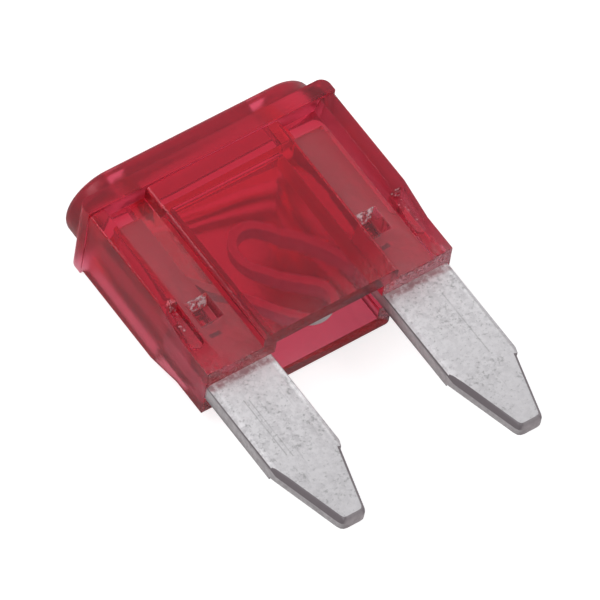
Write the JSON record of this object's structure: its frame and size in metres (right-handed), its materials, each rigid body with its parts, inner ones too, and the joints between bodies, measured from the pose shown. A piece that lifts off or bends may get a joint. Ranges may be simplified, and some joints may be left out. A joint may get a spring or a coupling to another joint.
{
  "type": "automotive blade fuse",
  "caption": "Small plug-in car fuse with a clear red housing, an S-shaped link and flat tapered metal blades.",
  "frame": {"origin": "centre of the bounding box in plan, at the lowest plane of the fuse lying on its back", "axes": "+X across both blades, +Y from the blade tips towards the head, +Z out of the front face"},
  "size_m": [0.011, 0.0166, 0.0038],
  "materials": {
    "housing": "clear red moulded polycarbonate, glossy",
    "element": "stamped zinc with a tin-bright satin face"
  },
  "bodies": {
    "root": {"housing": "housing", "fuse_element": "element"}
  },
  "joints": []
}
